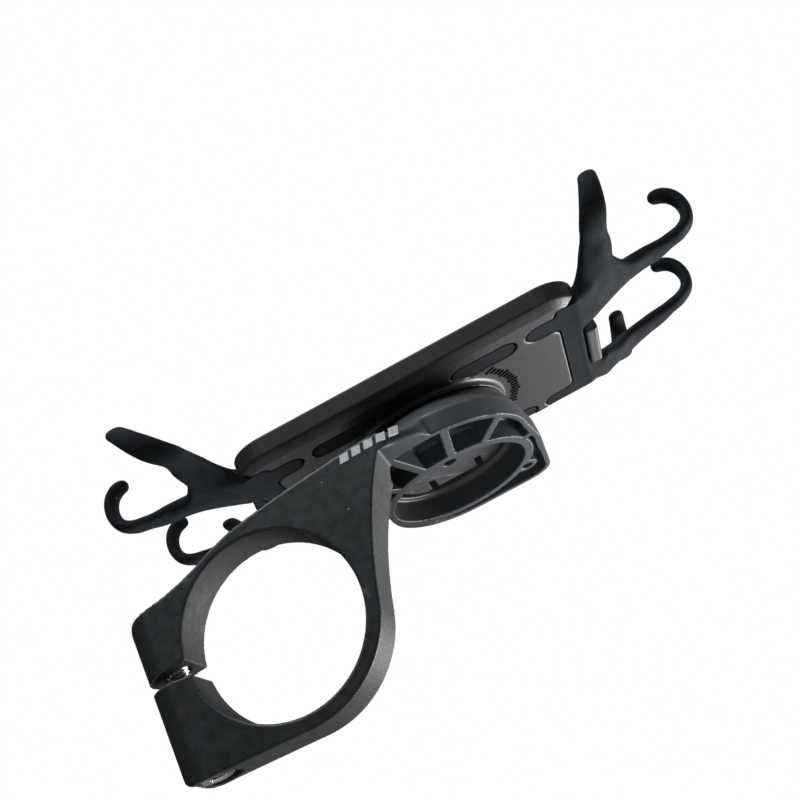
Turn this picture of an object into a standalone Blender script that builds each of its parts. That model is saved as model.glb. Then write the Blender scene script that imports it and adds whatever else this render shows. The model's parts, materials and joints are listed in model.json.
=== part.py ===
"""Out-front bicycle phone mount with a quarter-turn head and silicone corner straps.

Metres, +Z up.  The origin is the centre of the handlebar bore: +X is forward, +Y runs along the
handlebar, and +Z is square to the plate that carries the phone.
"""
import math

import bmesh
import bpy
from mathutils import Matrix, Vector

GAP = 0.0003                     # clearance between neighbouring pieces
CLEAR = 0.0010                   # how far a cutter runs past the face it cuts
FAR_X = 0.0600                   # cutters' reach past the carrier's ends
BELOW_Z = 0.0300                 # and below and above the carrier
ABOVE_Z = 0.0500
ASIDE_Y = 0.0100                 # cutters' reach beside the clamp
UNDER_CLAMP_Z = -0.0300          # and below it
HEAD_REACH_Y = 0.0600            # the clamp's profile is drawn out this far towards the head

# clamp
BORE_RADIUS = 0.0175             # 35 mm handlebar
RING_RADIUS = 0.0204             # outside of the ring, away from the ears
CLAMP_HALF_WIDTH = 0.00555       # half the ring's width along the handlebar
BOLT_X = -0.0211                 # the bolt stands upright behind the bore
EAR_RADIUS = 0.0058              # barrel round the bolt
EAR_TOP_Z = 0.0141
EAR_BOTTOM_Z = -0.0193
EAR_CORNER = 0.0035
SLIT_Z = 0.0004
SLIT_TIP_HALF = 0.0009           # half the slit's opening at the ears' tips
SLIT_BORE_HALF = 0.0014          # and at the bore

# arm
ARM_TOP_Z = 0.0242
ARM_FOOT = (0.0196, -0.0056)     # where the arm's front edge leaves the ring (X, Z)
ARM_BEND = (0.0236, 0.0090)
ARM_FRONT = (0.0312, 0.0204)

# head: the quarter-turn socket in front of the handlebar
HEAD_X = 0.0408
HEAD_Y = 0.03415
RIM_Z = 0.0204                   # lower rim of the head
WALL_TOP_Z = 0.0248              # where the upright wall turns into the sloping shoulder
HEAD_TOP_Z = 0.0337
HEAD_TOP_RADIUS = 0.0176
HEAD_FRONT = 0.0203              # flat front face, measured from the head's axis
HEAD_REAR = -0.0173              # flat rear face
HEAD_SIDE = 0.0213               # flat side face, away from the clamp
HEAD_NEAR = -0.0334              # where the head bulges out to meet the arm
HEAD_STEPS = 120
WALL = 0.0015
POCKET_ROOF_Z = 0.0249
COLLAR_RADIUS = 0.0180           # round wall of the socket
SOCKET_MOUTH_RADIUS = 0.0158
SOCKET_RADIUS = 0.0146           # above the ledge
LEDGE_Z = 0.0258
SOCKET_ROOF_Z = 0.0317
OPENING_RADIUS = 0.0134          # keyhole that the puck passes at a quarter turn
OPENING_HALF = 0.0106
RIB_ANGLES = (-0.723, -0.594, -0.472, -0.339, -0.111)   # in half turns from +X
RIB_WIDTH = 0.0019
RIB_REACH = 0.0400                  # past the head's wall
BOSS_AT = (0.0149, 0.0110)       # small blind screw boss in the front corner
BOSS_RADIUS = 0.0026
BOSS_HOLE_RADIUS = 0.0013

# quarter-turn puck
PUCK_RADIUS = 0.0130
PUCK_HALF = 0.0102               # half width across its flats
PUCK_BOTTOM_Z = 0.0258
NECK_RADIUS = 0.0101
PUCK_SLOT_X = 0.0058
PUCK_SLOT_WIDTH = 0.0016
PUCK_SLOT_DEPTH = 0.0052
PUCK_HOLE_RADIUS = 0.0015

# phone carrier
PLATE_BACK_Z = 0.0354
PLATE_THICKNESS = 0.0018
BEVEL_Z = 0.0369
SHELL_TOP_Z = 0.0410
BACK_HALF = (0.0388, 0.0240)
SHELL_HALF = (0.0402, 0.0262)
SHELL_WALL = 0.0015
SHELL_CORNER = 0.0080
TURNTABLE_RADIUS = 0.0178        # raised round seat that turns on the head
END_X = 0.0342                   # the back face ends here, and the silicone begins
END_SIDES = {-1: 0.0222, 1: 0.0248}      # sides of the opening at each end, near and far
TAB_CORNER = 0.0026              # round corners of the back face between the tongues
LIP_X = 0.0428                   # the shell's end lip hooks down over the silicone web
LIP_Y = (-0.0050, 0.0128)
LIP_WALL = 0.0030
CORE_TOP_Z = 0.0393
SLOT_Y = {-1: 0.0171, 1: 0.0216}         # centre lines of the slots that show the silicone
SLOT_HALF = 0.0031
PAD_X = (0.0087, 0.0244)
TONGUE_X = 0.0265
PANEL_BOTTOM_Z = CORE_TOP_Z + GAP
CUSHION_HALF = (0.0335, 0.0200)
CUSHION_TOP_Z = 0.0429

# silicone
STRAP_ROOT_X = 0.0398            # each strap starts here and bends about its lower edge
STRAP_BOTTOM_Z = 0.0356
TRUNK_THICKNESS = 0.0032
FINGER_WIDTH = 0.0054
FINGER_THICKNESS = 0.0026
SIDE_FINGER_X = {-1: 0.0474, 1: 0.0496}  # finger that crosses the phone's long side, near and far
SIDE_LEAN = {-1: 0.0090, 1: 0.0043}      # how far its tip leans outward, rear and front
PHONE_BACK_Z = 0.0434            # back of the phone that the straps are shaped round
PHONE_THICKNESS = 0.0069
PHONE_HALF_LENGTH = 0.0688
PHONE_SIDES = {-1: 0.0379, 1: 0.0352}    # the phone sits a little towards the clamp
# each strap's broad root: distance out, inner edge, outer edge, height of its lower face
TRUNKS = {-1: ((STRAP_ROOT_X, 0.0070, 0.0219, STRAP_BOTTOM_Z), (0.0420, 0.0069, 0.0220, 0.0360),
               (0.0450, 0.0067, 0.0240, 0.0373), (0.0480, 0.0068, 0.0235, 0.0387),
               (0.0510, 0.0071, 0.0180, 0.0398), (0.0550, 0.0078, 0.0152, 0.0404)),
          1: ((STRAP_ROOT_X, 0.0132, 0.0244, STRAP_BOTTOM_Z), (0.0420, 0.0150, 0.0272, 0.0360),
              (0.0450, 0.0184, 0.0300, 0.0373), (0.0480, 0.0206, 0.0315, 0.0387),
              (0.0510, 0.0216, 0.0310, 0.0398), (0.0550, 0.0212, 0.0276, 0.0404))}
# centre line of the finger over the phone's end: distance out, distance aside
END_FINGERS = {-1: ((0.0520, 0.0113), (0.0570, 0.0116), (0.0610, 0.0121), (0.0670, 0.0144)),
               1: ((0.0520, 0.0248), (0.0570, 0.0236), (0.0610, 0.0217), (0.0670, 0.0182))}

# fasteners
SIDE_TAPER = (1.05, 1.05, 1.05, 1, 1, 1, 1, 0.95, 0.90, 0.80)           # widths along each finger
END_TAPER = (1.20, 1.15, 1.05, 0.95, 0.92, 0.90, 0.90, 0.90, 0.90, 0.85, 0.80)

BOLT_RADIUS = 0.0020
BOLT_HEAD_RADIUS = 0.0035
BOLT_HEAD_HEIGHT = 0.0040
BOLT_BOTTOM_Z = -0.0190
BOLT_TOP_Z = 0.0105
BOLT_KEY_RADIUS = 0.0017
BOLT_KEY_DEPTH = 0.0018
WASHER_RADIUS = 0.0043
WASHER_THICKNESS = 0.0008
NUT_RADIUS = 0.0040
NUT_HEIGHT = 0.0032
NUT_BOTTOM_Z = 0.0052
SCREW_RADIUS = 0.0010
SCREW_HEAD_RADIUS = 0.0021
SCREW_HEAD_HEIGHT = 0.0010
PANEL_SCREWS = (0.0290, 0.0088)
PUCK_SCREWS = 0.0045
POST_RADIUS = 0.0028


def clear_scene():
    for old in list(bpy.data.objects):
        bpy.data.objects.remove(old)


def material(name, colour, roughness, metallic=0.0):
    made = bpy.data.materials.new(name)
    made.use_nodes = True
    shader = made.node_tree.nodes["Principled BSDF"]
    shader.inputs["Base Color"].default_value = (*colour, 1.0)
    shader.inputs["Roughness"].default_value = roughness
    shader.inputs["Metallic"].default_value = metallic
    return made


def from_bmesh(name, bm):
    bmesh.ops.recalc_face_normals(bm, faces=bm.faces)
    mesh = bpy.data.meshes.new(name)
    bm.to_mesh(mesh)
    bm.free()
    obj = bpy.data.objects.new(name, mesh)
    bpy.context.scene.collection.objects.link(obj)
    return obj


def loft(name, rings):
    """Closed solid through rings of points, all with the same number of points."""
    bm = bmesh.new()
    loops = [[bm.verts.new(point) for point in ring] for ring in rings]
    count = len(rings[0])
    for low, high in zip(loops, loops[1:]):
        for i in range(count):
            j = (i + 1) % count
            bm.faces.new((low[i], low[j], high[j], high[i]))
    bm.faces.new(loops[0])
    bm.faces.new(loops[-1])
    return from_bmesh(name, bm)


def prism(name, outline, low, high):
    """Outline in X and Y, raised from Z low to Z high."""
    return loft(name, [[(x, y, z) for x, y in outline] for z in (low, high)])


def prism_along_y(name, outline, low, high):
    """Outline in X and Z, drawn along Y."""
    return loft(name, [[(x, y, z) for x, z in outline] for y in (low, high)])


def arc(centre, radius, start, end, steps):
    """Points on an arc, both ends included, angles in degrees."""
    angles = [math.radians(start + (end - start) * i / steps) for i in range(steps + 1)]
    return [(centre[0] + radius * math.cos(a), centre[1] + radius * math.sin(a)) for a in angles]


def circle(centre, radius, steps):
    return arc(centre, radius, 0, 360, steps)[:-1]


def curve_through(start, bend, end, steps):
    """Points on a quadratic curve pulled towards bend, both ends included."""
    points = []
    for i in range(steps + 1):
        t = i / steps
        weights = ((1 - t) ** 2, 2 * t * (1 - t), t ** 2)
        points.append(tuple(sum(w * p[k] for w, p in zip(weights, (start, bend, end))) for k in (0, 1)))
    return points


def rectangle(x0, x1, y0, y1):
    return [(x0, y0), (x1, y0), (x1, y1), (x0, y1)]


def rounded_rectangle(half_x, half_y, radius, steps=8, centre=(0.0, 0.0)):
    points = []
    corners = ((1, 1, 0), (-1, 1, 90), (-1, -1, 180), (1, -1, 270))
    for side_x, side_y, start in corners:
        middle = (centre[0] + side_x * (half_x - radius), centre[1] + side_y * (half_y - radius))
        points += arc(middle, radius, start, start + 90, steps)
    return points


def clipped_circle(radius, half, steps, across_x=False):
    """Circle with two flats at plus and minus half, cut across Y, or across X."""
    edge = math.degrees(math.asin(half / radius))
    points = arc((0, 0), radius, -edge, edge, steps) + arc((0, 0), radius, 180 - edge, 180 + edge, steps)
    return [(y, -x) for x, y in points] if across_x else points


def combine(target, tools, operation):
    """Apply one Boolean for each tool, and remove the tool."""
    for tool in tools:
        step = target.modifiers.new(operation.lower(), "BOOLEAN")
        step.operation = operation
        step.solver = "EXACT"
        step.object = tool
        evaluated = target.evaluated_get(bpy.context.evaluated_depsgraph_get())
        mesh = bpy.data.meshes.new_from_object(evaluated)
        target.modifiers.clear()
        target.data = mesh
        bpy.data.objects.remove(tool)
    return target


def cylinder(name, centre, radius, low, high, steps=32):
    return prism(name, circle(centre, radius, steps), low, high)


def finish(obj, made_of, sharp=30):
    obj.data.materials.clear()
    obj.data.materials.append(made_of)
    obj.data.shade_smooth()
    obj.data.set_sharp_from_angle(angle=math.radians(sharp))
    return obj


def place(obj, x=0.0, y=0.0, z=0.0):
    obj.data.transform(Matrix.Translation((x, y, z)))
    return obj


def origin_at(obj, point):
    """Keep the shape where it is and put the object's origin on its joint."""
    obj.data.transform(Matrix.Translation(-Vector(point)))
    obj.location = point
    return obj


# ---------------------------------------------------------------- bracket

def clamp_profile():
    """Side view of ring, ears and arm, in X and Z, counter-clockwise from the ring's lowest point."""
    foot_angle = math.degrees(math.atan2(ARM_FOOT[1], ARM_FOOT[0]))
    points = arc((0, 0), RING_RADIUS, -96, foot_angle, 22)
    points += curve_through(ARM_FOOT, ARM_BEND, ARM_FRONT, 10)[1:]
    points += [(HEAD_X, RIM_Z), (HEAD_X, ARM_TOP_Z)]
    points += curve_through((0.0370, ARM_TOP_Z), (0.0100, 0.0222), (-0.0010, 0.0200), 6)
    points += curve_through((-0.0060, 0.0184), (-0.0130, 0.0152), (-0.0205, EAR_TOP_Z), 4)
    tip = BOLT_X - EAR_RADIUS
    points += arc((tip + EAR_CORNER, EAR_TOP_Z - EAR_CORNER - 0.0006), EAR_CORNER, 90, 180, 6)[1:]
    points += arc((tip + EAR_CORNER, EAR_BOTTOM_Z + EAR_CORNER), EAR_CORNER, 180, 270, 6)
    return points


def clamp_plan():
    """Plan of the clamp and arm: barrel-shaped at the bolt, flared into the head's side."""
    near = curve_through((0.0270, -CLAMP_HALF_WIDTH), (0.0410, -0.0046), (0.0500, 0.0068), 8)
    far = curve_through((0.0330, 0.0110), (0.0240, CLAMP_HALF_WIDTH), (0.0150, CLAMP_HALF_WIDTH), 8)
    barrel = arc((BOLT_X, 0), EAR_RADIUS, 100, 260, 18)
    step_x = BOLT_X + EAR_RADIUS * 0.55
    return ([(step_x, -CLAMP_HALF_WIDTH)] + near + [(0.0500, 0.0160)] + far
            + [(step_x, CLAMP_HALF_WIDTH)] + barrel)


def head_outline():
    """The head's outline round its own axis: flat front, rear and side, and a bulge to the arm."""
    corner = 0.0050
    points = [(HEAD_FRONT, -0.0030), (HEAD_FRONT, HEAD_SIDE - corner)]
    points += arc((HEAD_FRONT - corner, HEAD_SIDE - corner), corner, 0, 90, 8)[1:]
    points += arc((0.0015, 0.0025), 0.0188, 90, 178, 16)
    points += [(HEAD_REAR, -0.0155), (-0.0105, -0.0305)]
    bulge_radius = 0.0206
    points += arc((-0.0020, HEAD_NEAR + bulge_radius), bulge_radius, -112, -2, 24)
    return points


def radius_at(outline, angle):
    """Distance from the axis to the outline in one direction."""
    direction = Vector((math.cos(angle), math.sin(angle)))
    best = 0.0
    for start, end in zip(outline, outline[1:] + outline[:1]):
        a, b = Vector(start), Vector(end)
        edge = b - a
        cross = direction.x * edge.y - direction.y * edge.x
        if abs(cross) < 1e-12:
            continue
        distance = (a.x * edge.y - a.y * edge.x) / cross
        along = (a.x * direction.y - a.y * direction.x) / cross
        if 0.0 <= along <= 1.0:
            best = max(best, distance)
    return best


def head_ring(radius_of, height):
    points = []
    for i in range(HEAD_STEPS):
        angle = 2 * math.pi * i / HEAD_STEPS
        radius = radius_of(angle)
        points.append((HEAD_X + radius * math.cos(angle), HEAD_Y + radius * math.sin(angle), height))
    return points


def head_block():
    outline = head_outline()
    wall = head_ring(lambda a: radius_at(outline, a), RIM_Z)
    wall_top = [(x, y, WALL_TOP_Z) for x, y, _ in wall]
    top = head_ring(lambda a: HEAD_TOP_RADIUS, HEAD_TOP_Z)
    return loft("head", [wall, wall_top, top])


def rib_pockets():
    """Cored pockets between the round socket wall and the head's outer wall."""
    outline = head_outline()
    inner = head_ring(lambda a: radius_at(outline, a) - WALL, RIM_Z - 0.002)
    pocket = loft("pockets", [inner, [(x, y, POCKET_ROOF_Z) for x, y, _ in inner]])
    low, high = RIM_Z - 0.003, POCKET_ROOF_Z + 0.001
    keep = [cylinder("collar", (HEAD_X, HEAD_Y), COLLAR_RADIUS, low, high, 72)]
    for turn in RIB_ANGLES:
        rib = prism("rib", rectangle(0.0, RIB_REACH, -RIB_WIDTH / 2, RIB_WIDTH / 2), low, high)
        rib.data.transform(Matrix.Rotation(math.pi * turn, 4, "Z"))
        keep.append(place(rib, HEAD_X, HEAD_Y))
    keep.append(cylinder("boss", (HEAD_X + BOSS_AT[0], HEAD_Y + BOSS_AT[1]), BOSS_RADIUS, low, high))
    return combine(pocket, keep, "DIFFERENCE")


def slit_wedge():
    tip, end = BOLT_X - 2 * EAR_RADIUS, 0.0
    slope = (SLIT_BORE_HALF - SLIT_TIP_HALF) / (abs(BOLT_X) + EAR_RADIUS - BORE_RADIUS)
    tip_half = SLIT_TIP_HALF - slope * (BOLT_X - EAR_RADIUS - tip)
    end_half = SLIT_BORE_HALF + slope * BORE_RADIUS
    outline = [(tip, SLIT_Z - tip_half), (end, SLIT_Z - end_half),
               (end, SLIT_Z + end_half), (tip, SLIT_Z + tip_half)]
    return prism_along_y("slit", outline, -ASIDE_Y, ASIDE_Y)


def bolt_cuts():
    at = (BOLT_X, 0.0)
    washer_top = BOLT_BOTTOM_Z + BOLT_HEAD_HEIGHT + GAP + WASHER_THICKNESS + GAP
    nut_low, nut_high = NUT_BOTTOM_Z - GAP, NUT_BOTTOM_Z + NUT_HEIGHT + GAP
    return [cylinder("bolt_hole", at, BOLT_RADIUS + GAP, UNDER_CLAMP_Z, BOLT_TOP_Z + 0.0008),
            cylinder("head_well", at, WASHER_RADIUS + GAP, UNDER_CLAMP_Z, washer_top),
            cylinder("nut_well", at, NUT_RADIUS + GAP, nut_low, nut_high, 6)]


def bracket(made_of):
    body = prism_along_y("clamp_bracket", clamp_profile(), -ASIDE_Y, HEAD_REACH_Y)
    body = combine(body, [prism("plan", clamp_plan(), UNDER_CLAMP_Z, ABOVE_Z)], "INTERSECT")
    body = combine(body, [head_block()], "UNION")
    opening = prism("opening", clipped_circle(OPENING_RADIUS, OPENING_HALF, 14, True), LEDGE_Z, ABOVE_Z)
    axis = (HEAD_X, HEAD_Y)
    cuts = [prism_along_y("bore", circle((0, 0), BORE_RADIUS, 80), -ASIDE_Y, ASIDE_Y),
            slit_wedge(),
            rib_pockets(),
            cylinder("mouth", axis, SOCKET_MOUTH_RADIUS, RIM_Z - 0.002, LEDGE_Z, 64),
            cylinder("socket", axis, SOCKET_RADIUS, LEDGE_Z - 0.001, SOCKET_ROOF_Z, 64),
            place(opening, *axis),
            cylinder("boss_hole", (HEAD_X + BOSS_AT[0], HEAD_Y + BOSS_AT[1]), BOSS_HOLE_RADIUS,
                     RIM_Z - 0.002, POCKET_ROOF_Z, 20)]
    return finish(combine(body, cuts + bolt_cuts(), "DIFFERENCE"), made_of)


def clamp_bolt(made_of):
    at = (BOLT_X, 0.0)
    head_top = BOLT_BOTTOM_Z + BOLT_HEAD_HEIGHT
    bolt = cylinder("clamp_bolt", at, BOLT_HEAD_RADIUS, BOLT_BOTTOM_Z, head_top)
    combine(bolt, [cylinder("shank", at, BOLT_RADIUS, BOLT_BOTTOM_Z + 0.002, BOLT_TOP_Z)], "UNION")
    key = cylinder("key", at, BOLT_KEY_RADIUS, UNDER_CLAMP_Z, BOLT_BOTTOM_Z + BOLT_KEY_DEPTH, 6)
    combine(bolt, [key], "DIFFERENCE")
    return origin_at(finish(bolt, made_of), (BOLT_X, 0.0, BOLT_BOTTOM_Z))


def clamp_washer(made_of):
    low = BOLT_BOTTOM_Z + BOLT_HEAD_HEIGHT + GAP
    washer = cylinder("clamp_washer", (BOLT_X, 0), WASHER_RADIUS, low, low + WASHER_THICKNESS)
    hole = cylinder("hole", (BOLT_X, 0), BOLT_RADIUS + GAP, UNDER_CLAMP_Z, SLIT_Z)
    return finish(combine(washer, [hole], "DIFFERENCE"), made_of)


def clamp_nut(made_of):
    nut = cylinder("clamp_nut", (BOLT_X, 0), NUT_RADIUS, NUT_BOTTOM_Z, NUT_BOTTOM_Z + NUT_HEIGHT, 6)
    hole = cylinder("hole", (BOLT_X, 0), BOLT_RADIUS + GAP, SLIT_Z, EAR_TOP_Z)
    return finish(combine(nut, [hole], "DIFFERENCE"), made_of)


# ---------------------------------------------------------------- phone carrier

def at_head(points):
    return [(HEAD_X + x, HEAD_Y + y) for x, y in points]


def four_ways(x, y):
    return [(HEAD_X + side_x * x, HEAD_Y + side_y * y) for side_x in (-1, 1) for side_y in (-1, 1)]


def lock_puck(made_of):
    roof = SOCKET_ROOF_Z - GAP
    outline = at_head(clipped_circle(PUCK_RADIUS, PUCK_HALF, 18))
    puck = prism("lock_puck", outline, PUCK_BOTTOM_Z, roof)
    combine(puck, [cylinder("neck", (HEAD_X, HEAD_Y), NECK_RADIUS, roof - 0.001, HEAD_TOP_Z, 48)], "UNION")
    cuts = [cylinder("pip", (HEAD_X, HEAD_Y), PUCK_HOLE_RADIUS, RIM_Z, PUCK_BOTTOM_Z + 0.002, 24)]
    for side_x in (-1, 1):
        for side_y in (-1, 1):
            x, y = HEAD_X + side_x * PUCK_SLOT_X, HEAD_Y + side_y * PUCK_HALF
            cuts.append(prism("slot", rectangle(x - PUCK_SLOT_WIDTH / 2, x + PUCK_SLOT_WIDTH / 2,
                                                y - PUCK_SLOT_DEPTH, y + PUCK_SLOT_DEPTH),
                              RIM_Z, PUCK_BOTTOM_Z + 0.0035))
    for at in four_ways(PUCK_SCREWS, PUCK_SCREWS):
        cuts.append(cylinder("screw_hole", at, SCREW_RADIUS + GAP, PUCK_BOTTOM_Z + 0.0025, ABOVE_Z, 16))
    return finish(combine(puck, cuts, "DIFFERENCE"), made_of)


def pad_slots(growth, low, high):
    """The four long slots, or with a negative growth what fills them."""
    shapes = []
    for side_x in (-1, 1):
        for side_y in (-1, 1):
            middle = ((PAD_X[0] + PAD_X[1]) / 2 * side_x, SLOT_Y[side_y] * side_y)
            half = (PAD_X[1] - PAD_X[0]) / 2 + growth
            end_radius = SLOT_HALF + growth - 0.0001
            points = rounded_rectangle(half, SLOT_HALF + growth, end_radius, 6, middle)
            shapes.append(prism("pad", at_head(points), low, high))
    return shapes


def end_window(side_x, growth, outer_x):
    """Opening at one end of the back face: two tongue slots beside a round-cornered tab."""
    half = SLOT_HALF + growth
    corner = TAB_CORNER - growth
    end = END_X - growth
    points = []
    for side_y in (-1, 1):
        middle = (TONGUE_X + SLOT_HALF, side_y * SLOT_Y[side_y])
        tab_side = middle[1] - side_y * half
        edge = side_y * (END_SIDES[side_y] + growth)
        start = side_y * 90
        branch = [(outer_x, edge), (end, edge), (end - 0.0008, middle[1] + side_y * half)]
        branch += arc(middle, half, start, start + side_y * 180, 8)
        tab_middle = (end - corner, tab_side - side_y * corner)
        branch += arc(tab_middle, corner, start, start - side_y * 90, 5)
        points += branch if side_y < 0 else branch[::-1]
    return [(HEAD_X + side_x * x, HEAD_Y + y) for x, y in points]


def shell_body(name):
    sections = ((BACK_HALF, SHELL_CORNER - 0.0018, PLATE_BACK_Z), (SHELL_HALF, SHELL_CORNER, BEVEL_Z),
                (SHELL_HALF, SHELL_CORNER, SHELL_TOP_Z))
    rings = []
    for half, corner, z in sections:
        rings.append([(x, y, z) for x, y in at_head(rounded_rectangle(*half, corner))])
    return loft(name, rings)


def end_lips():
    """Hooks at the shell's ends that hold the silicone web, in X and Z, drawn along Y."""
    lips = []
    inner, under = LIP_X - LIP_WALL, CORE_TOP_Z + GAP
    root = SHELL_HALF[0] - SHELL_WALL
    outline = [(root, SHELL_TOP_Z), (root, under), (inner, under), (inner, PLATE_BACK_Z),
               (LIP_X - 0.0005, PLATE_BACK_Z), (LIP_X, PLATE_BACK_Z + 0.0006), (LIP_X, SHELL_TOP_Z - 0.0010),
               (LIP_X - 0.0010, SHELL_TOP_Z)]
    for side_x in (-1, 1):
        points = [(HEAD_X + side_x * x, z) for x, z in outline]
        lips.append(prism_along_y("lip", points, HEAD_Y + LIP_Y[0], HEAD_Y + LIP_Y[1]))
    return lips


def back_shell(made_of):
    shell = shell_body("back_shell")
    seat = cylinder("seat", (HEAD_X, HEAD_Y), TURNTABLE_RADIUS, HEAD_TOP_Z + GAP, PLATE_BACK_Z + 0.001, 72)
    combine(shell, [seat], "UNION")
    floor = PLATE_BACK_Z + PLATE_THICKNESS
    inside = [half - SHELL_WALL for half in SHELL_HALF]
    cavity = at_head(rounded_rectangle(*inside, SHELL_CORNER - SHELL_WALL))
    cuts = [prism("cavity", cavity, floor, SHELL_TOP_Z + CLEAR)]
    for side_x in (-1, 1):
        cuts.append(prism("end", end_window(side_x, 0.0, FAR_X), BELOW_Z, floor + CLEAR))
        x0, x1 = sorted((side_x * (END_X + 0.0010), side_x * FAR_X))
        opening = at_head(rectangle(x0, x1, -END_SIDES[-1], END_SIDES[1]))
        cuts.append(prism("end", opening, BELOW_Z, CORE_TOP_Z))
    combine(shell, cuts + pad_slots(0.0, BELOW_Z, floor + CLEAR), "DIFFERENCE")
    posts = [cylinder("post", at, POST_RADIUS, floor - CLEAR / 2, CORE_TOP_Z, 24)
             for at in four_ways(*PANEL_SCREWS)]
    combine(shell, posts + end_lips(), "UNION")
    holes = [cylinder("hole", at, SCREW_RADIUS + GAP, PLATE_BACK_Z + 0.0008, ABOVE_Z, 16)
             for at in four_ways(*PANEL_SCREWS)]
    for at in four_ways(PUCK_SCREWS, PUCK_SCREWS):
        holes.append(cylinder("hole", at, SCREW_RADIUS + GAP, BELOW_Z, ABOVE_Z, 16))
        sink = floor - SCREW_HEAD_HEIGHT - GAP
        holes.append(cylinder("sink", at, SCREW_HEAD_RADIUS + GAP, sink, ABOVE_Z, 24))
    return finish(combine(shell, holes, "DIFFERENCE"), made_of)


def front_panel(made_of):
    inside = [half - SHELL_WALL - GAP for half in SHELL_HALF]
    outline = at_head(rounded_rectangle(*inside, SHELL_CORNER - SHELL_WALL - GAP))
    panel = prism("front_panel", outline, PANEL_BOTTOM_Z, SHELL_TOP_Z)
    cuts = []
    for at in four_ways(*PANEL_SCREWS):
        cuts.append(cylinder("hole", at, SCREW_RADIUS + GAP, BELOW_Z, ABOVE_Z, 16))
        sink = SHELL_TOP_Z - SCREW_HEAD_HEIGHT - GAP
        cuts.append(cylinder("sink", at, SCREW_HEAD_RADIUS + GAP, sink, ABOVE_Z, 24))
    return finish(combine(panel, cuts, "DIFFERENCE"), made_of)


def front_cushion(made_of):
    low = SHELL_TOP_Z + GAP
    outline = at_head(rounded_rectangle(*CUSHION_HALF, 0.0060))
    return finish(prism("front_cushion", outline, low, CUSHION_TOP_Z), made_of)


def silicone_core(made_of):
    """Sheet between the shells, with the pads, tongues, end webs and strap roots in one piece."""
    floor = PLATE_BACK_Z + PLATE_THICKNESS + GAP
    roof = CORE_TOP_Z
    inside = (SHELL_HALF[0] - SHELL_WALL - GAP, SHELL_HALF[1] - SHELL_WALL - GAP)
    corner = SHELL_CORNER - SHELL_WALL - GAP
    sheet = prism("silicone_core", at_head(rounded_rectangle(*inside, corner)), floor, roof)
    root_x = STRAP_ROOT_X - GAP
    into_sheet = floor + CLEAR / 2
    tops = pad_slots(-GAP, PLATE_BACK_Z, into_sheet)
    for side_x in (-1, 1):
        tops.append(prism("tongues", end_window(side_x, -GAP, root_x), PLATE_BACK_Z, into_sheet))
        x0, x1 = sorted((side_x * (END_X + 0.0013), side_x * root_x))
        sides = (-END_SIDES[-1] + GAP, END_SIDES[1] - GAP)
        tops.append(prism("root", at_head(rectangle(x0, x1, *sides)), PLATE_BACK_Z, roof))
    combine(sheet, tops, "UNION")
    combine(sheet, [silicone_limits()], "INTERSECT")
    holes = [cylinder("hole", at, POST_RADIUS + GAP, BELOW_Z, ABOVE_Z, 24) for at in four_ways(*PANEL_SCREWS)]
    return finish(combine(sheet, holes, "DIFFERENCE"), made_of)


def silicone_limits():
    """The shell's outside with its ends drawn out, so that the silicone lies flush with the bevel."""
    slope = (SHELL_HALF[1] - BACK_HALF[1]) / (BEVEL_Z - PLATE_BACK_Z)
    high = PLATE_BACK_Z + (SHELL_HALF[1] - GAP - BACK_HALF[1]) / slope
    side = SHELL_HALF[1] - GAP
    outline = [(-BACK_HALF[1], PLATE_BACK_Z), (BACK_HALF[1], PLATE_BACK_Z), (side, high), (side, SHELL_TOP_Z),
               (-side, SHELL_TOP_Z), (-side, high)]
    rings = [[(HEAD_X + x, HEAD_Y + y, z) for y, z in outline] for x in (-FAR_X, FAR_X)]
    return loft("limits", rings)


# ---------------------------------------------------------------- corner straps

def sweep(name, path, widths, thicknesses, across):
    """Eight-sided band along a path; across is the direction of its width."""
    rings = []
    for i, point in enumerate(path):
        before, after = Vector(path[max(i - 1, 0)]), Vector(path[min(i + 1, len(path) - 1)])
        forward = (after - before).normalized()
        side = (Vector(across) - forward * forward.dot(Vector(across))).normalized()
        up = forward.cross(side)
        w, t = widths[i] / 2, thicknesses[i] / 2
        corners = ((1, .5), (.6, 1), (-.6, 1), (-1, .5), (-1, -.5), (-.6, -1), (.6, -1), (1, -.5))
        rings.append([tuple(Vector(point) + side * (w * a) + up * (t * b)) for a, b in corners])
    return loft(name, rings)


def hook(edge):
    """Distance out and height along a finger's hook round the phone, from under it to over it."""
    out = FINGER_THICKNESS / 2 + GAP
    under = PHONE_BACK_Z - out
    over = PHONE_BACK_Z + PHONE_THICKNESS + out
    middle = PHONE_BACK_Z + PHONE_THICKNESS / 2
    return [(edge - 0.0050, under), (edge - 0.0016, under + 0.0002), (edge + 0.0006, under + 0.0016),
            (edge + out, middle - 0.0010), (edge + out, middle + 0.0012), (edge + 0.0006, over - 0.0014),
            (edge - 0.0014, over), (edge - 0.0038, over + 0.0001)]


def trunk(name, side_x, side_y):
    """Broad root of a strap, from the carrier's corner out to where the fingers part."""
    rings = []
    for x, inner, outer, low in TRUNKS[side_y]:
        high = min(low + TRUNK_THICKNESS, PHONE_BACK_Z - GAP)
        middle, half, edge = (low + high) / 2, (high - low) / 2, 0.0007
        section = [(inner, -edge), (inner + edge, -half), (outer - edge, -half), (outer, -edge),
                   (outer, edge), (outer - edge, half), (inner + edge, half), (inner, edge)]
        rings.append([(HEAD_X + side_x * x, HEAD_Y + side_y * y, middle + z) for y, z in section])
    return loft(name, rings)


def across_at(line, out):
    """Where a finger's centre line lies across the phone, at one distance out."""
    for (x0, y0), (x1, y1) in zip(line, line[1:]):
        if out <= x1:
            return y0 + (y1 - y0) * max(0.0, out - x0) / (x1 - x0)
    return line[-1][1]


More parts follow.
